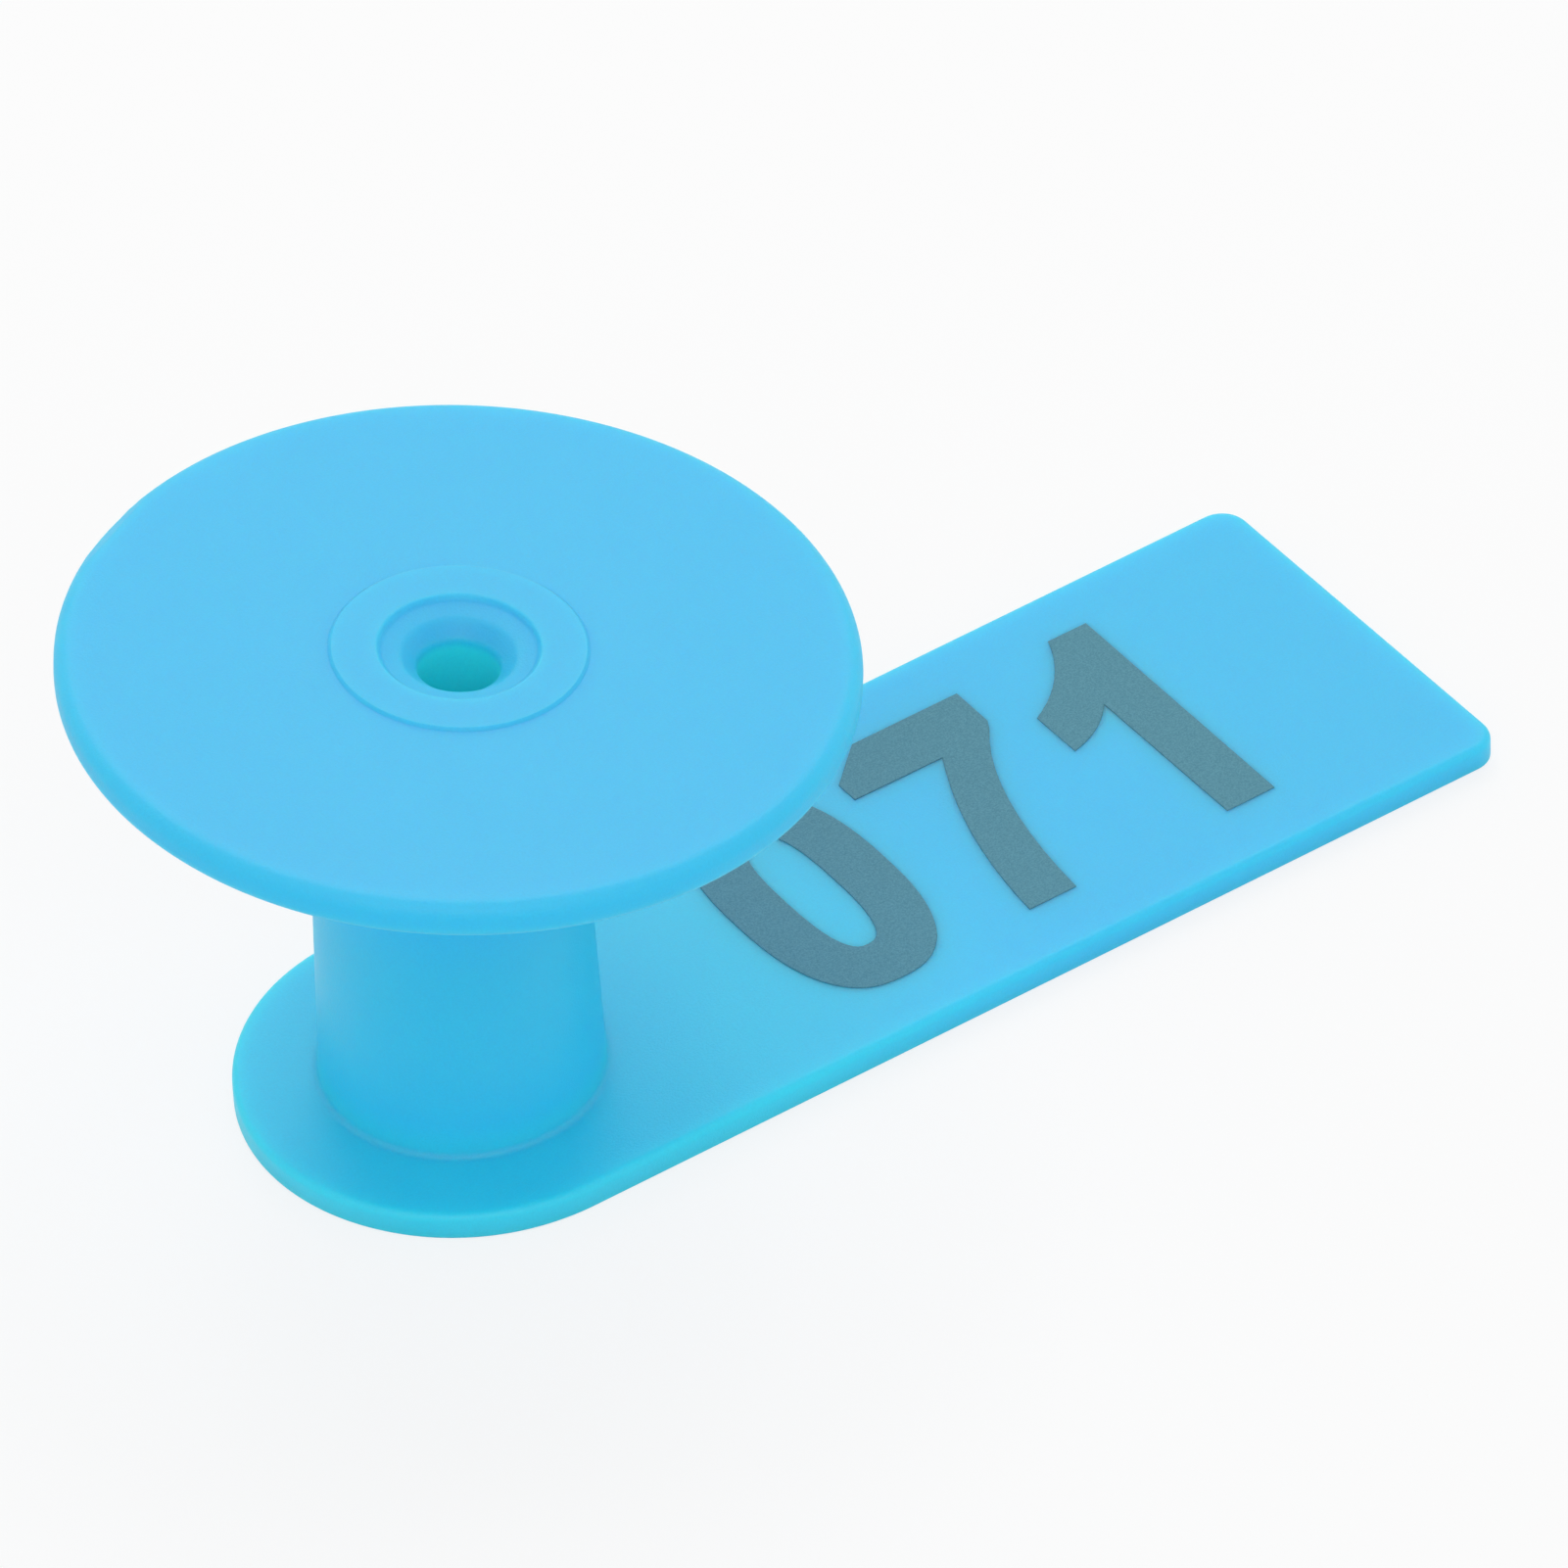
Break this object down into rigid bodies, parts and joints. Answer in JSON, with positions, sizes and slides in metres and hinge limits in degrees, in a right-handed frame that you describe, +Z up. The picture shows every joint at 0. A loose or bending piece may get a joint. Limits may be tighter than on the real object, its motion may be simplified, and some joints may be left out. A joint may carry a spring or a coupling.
{
  "type": "livestock ear tag",
  "caption": "Two-piece sheep and goat ear tag: a numbered flag with a tall hub, and a round button stud with a hollow neck that locks and swivels in the hub.",
  "frame": {"origin": "on the hub's axis at the flag's underside", "axes": "+X along the flag to its square end, +Z up through the hub to the button"},
  "size_m": [0.0575, 0.0303, 0.0228],
  "materials": {
    "flag_plastic": "fine matte moulded soft plastic, sky blue",
    "stud_plastic": "fine matte moulded soft plastic, sky blue",
    "tip_brass": "turned"
  },
  "bodies": {
    "flag": {"number_flag": "flag_plastic"},
    "stud": {"button_stud": "stud_plastic", "stud_tip": "tip_brass"}
  },
  "joints": [
    {"name": "stud_swivel", "type": "hinge", "parent": "flag", "child": "stud", "pos_m": [0, 0, 0.009], "axis": [0.068, -0.0221, 0.9974], "continuous": true}
  ]
}
